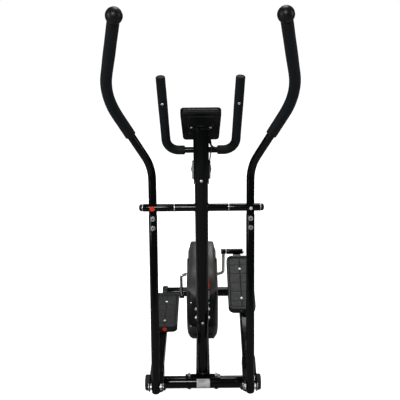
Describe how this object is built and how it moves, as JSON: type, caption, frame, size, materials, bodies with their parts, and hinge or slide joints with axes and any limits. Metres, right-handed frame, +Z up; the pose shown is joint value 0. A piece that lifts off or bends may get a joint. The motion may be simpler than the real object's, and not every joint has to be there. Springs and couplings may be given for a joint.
{
  "type": "elliptical trainer",
  "caption": "Home elliptical trainer: floor frame with a leaning post, swinging foam-grip arms, pedal bars with footplates, crank and flywheel in a housing, console and fixed handlebar.",
  "frame": {"origin": "on the floor, in the middle of the machine's length and width", "axes": "+Z up, +Y towards the rear stabiliser, +X towards the side whose pedal is up; the rider faces -Y"},
  "size_m": [0.6552, 1.1886, 1.4783],
  "materials": {
    "black_paint": "gloss black powder coat on steel tube",
    "black_plastic": "moulded black ABS, fine texture",
    "grey_plastic": "moulded dark grey plastic",
    "footplate_plastic": "moulded dark grey plastic with grooves",
    "black_rubber": "black rubber",
    "grip_foam": "closed-cell black foam sleeve",
    "chrome": "bright plated steel rod",
    "zinc": "zinc plated steel fasteners",
    "cast_iron": "machined cast iron",
    "display_glass": "tinted display window",
    "light_plastic": "light grey moulded plastic"
  },
  "bodies": {
    "frame": {"main_frame": "black_paint", "upper_post": "black_paint", "pivot_crossbar": "black_paint", "pivot_axle": "zinc", "pivot_washer_L": "zinc", "pivot_washer_R": "zinc", "axle_cap_L": "black_plastic", "axle_cap_R": "black_plastic", "front_stabiliser": "black_paint", "rear_stabiliser": "black_paint", "stabiliser_plate": "black_paint", "front_foot_L": "black_plastic", "front_foot_R": "black_plastic", "rear_foot_L": "black_plastic", "rear_foot_R": "black_plastic", "crank_bearing_L": "zinc", "crank_bearing_R": "zinc", "flywheel_axle": "zinc", "drive_belt": "black_rubber", "housing_L": "black_plastic", "housing_R": "black_plastic", "console_bracket": "black_paint", "console_back": "black_plastic", "console_front": "black_plastic", "console_window": "display_glass", "dial_base": "light_plastic", "handlebar": "black_paint", "fixed_grip_L": "grip_foam", "fixed_grip_R": "grip_foam", "sensor_cable": "black_rubber"},
    "crank": {"crank": "chrome", "drive_pulley": "grey_plastic", "crank_cover_L": "grey_plastic", "crank_cover_R": "grey_plastic"},
    "flywheel": {"flywheel": "cast_iron"},
    "magnet_arm": {"magnet_arm": "grey_plastic"},
    "tension_dial": {"tension_dial": "black_plastic"},
    "console_button": {"console_button": "light_plastic"},
    "arm_L": {"handle_L": "black_paint", "handle_grip_L": "grip_foam", "handle_ball_L": "black_plastic", "lower_arm_L": "black_paint", "arm_plug_L": "black_plastic"},
    "pedal_L": {"pedal_bar_L": "black_paint", "fork_pin_L": "black_plastic", "crank_pin_L": "zinc", "footplate_L": "footplate_plastic"},
    "wheel_L": {"transport_wheel_L": "black_rubber"},
    "arm_R": {"handle_R": "black_paint", "handle_grip_R": "grip_foam", "handle_ball_R": "black_plastic", "lower_arm_R": "black_paint", "arm_plug_R": "black_plastic"},
    "pedal_R": {"pedal_bar_R": "black_paint", "fork_pin_R": "black_plastic", "crank_pin_R": "zinc", "footplate_R": "footplate_plastic"},
    "wheel_R": {"transport_wheel_R": "black_rubber"}
  },
  "joints": [
    {"name": "crank_turn", "type": "hinge", "parent": "frame", "child": "crank", "pos_m": [0, 0.21175, 0.289], "axis": [1, 0, 0], "range_deg": [0, 90]},
    {"name": "arm_swing_L", "type": "hinge", "parent": "frame", "child": "arm_L", "pos_m": [-0.178, -0.32091, 0.78468], "axis": [1, 0, 0], "range_deg": [0, 10.92]},
    {"name": "pedal_pivot_L", "type": "hinge", "parent": "arm_L", "child": "pedal_L", "pos_m": [-0.178, -0.43916, 0.112], "axis": [1, 0, 0], "range_deg": [0, 4.08]},
    {"name": "arm_swing_R", "type": "hinge", "parent": "frame", "child": "arm_R", "pos_m": [0.178, -0.32091, 0.78468], "axis": [1, 0, 0], "range_deg": [-13.97, 0]},
    {"name": "pedal_pivot_R", "type": "hinge", "parent": "arm_R", "child": "pedal_R", "pos_m": [0.178, -0.43916, 0.112], "axis": [1, 0, 0], "range_deg": [-4.7, 0]},
    {"name": "flywheel_spin", "type": "hinge", "parent": "frame", "child": "flywheel", "pos_m": [0, -0.01825, 0.29], "axis": [1, 0, 0], "range_deg": [0, 720]},
    {"name": "magnet_lift", "type": "hinge", "parent": "frame", "child": "magnet_arm", "pos_m": [0, 0.06878, 0.33824], "axis": [1, 0, 0], "range_deg": [-8, 0]},
    {"name": "tension_turn", "type": "hinge", "parent": "frame", "child": "tension_dial", "pos_m": [0, -0.33158, 0.91726], "axis": [0, 0.9968, 0.0802], "range_deg": [0, 315]},
    {"name": "button_press", "type": "slide", "parent": "frame", "child": "console_button", "axis": [0, -0.848, -0.5299], "range_m": [0, 0.002], "stiffness_N_per_m": 300},
    {"name": "wheel_spin_L", "type": "hinge", "parent": "frame", "child": "wheel_L", "pos_m": [-0.2225, -0.28825, 0.033], "axis": [1, 0, 0], "continuous": true},
    {"name": "wheel_spin_R", "type": "hinge", "parent": "frame", "child": "wheel_R", "pos_m": [0.2225, -0.28825, 0.033], "axis": [1, 0, 0], "continuous": true}
  ],
  "couplings": [
    {"joint": "flywheel_spin", "follows": "crank_turn", "ratio": 7.9167},
    {"joint": "magnet_lift", "follows": "tension_turn", "ratio": -0.025397},
    {"joint": "arm_swing_L", "follows": "crank_turn", "ratio": 0.11963},
    {"joint": "pedal_pivot_L", "follows": "crank_turn", "ratio": 0.043628},
    {"joint": "arm_swing_R", "follows": "crank_turn", "ratio": -0.15355},
    {"joint": "pedal_pivot_R", "follows": "crank_turn", "ratio": -0.050559}
  ]
}
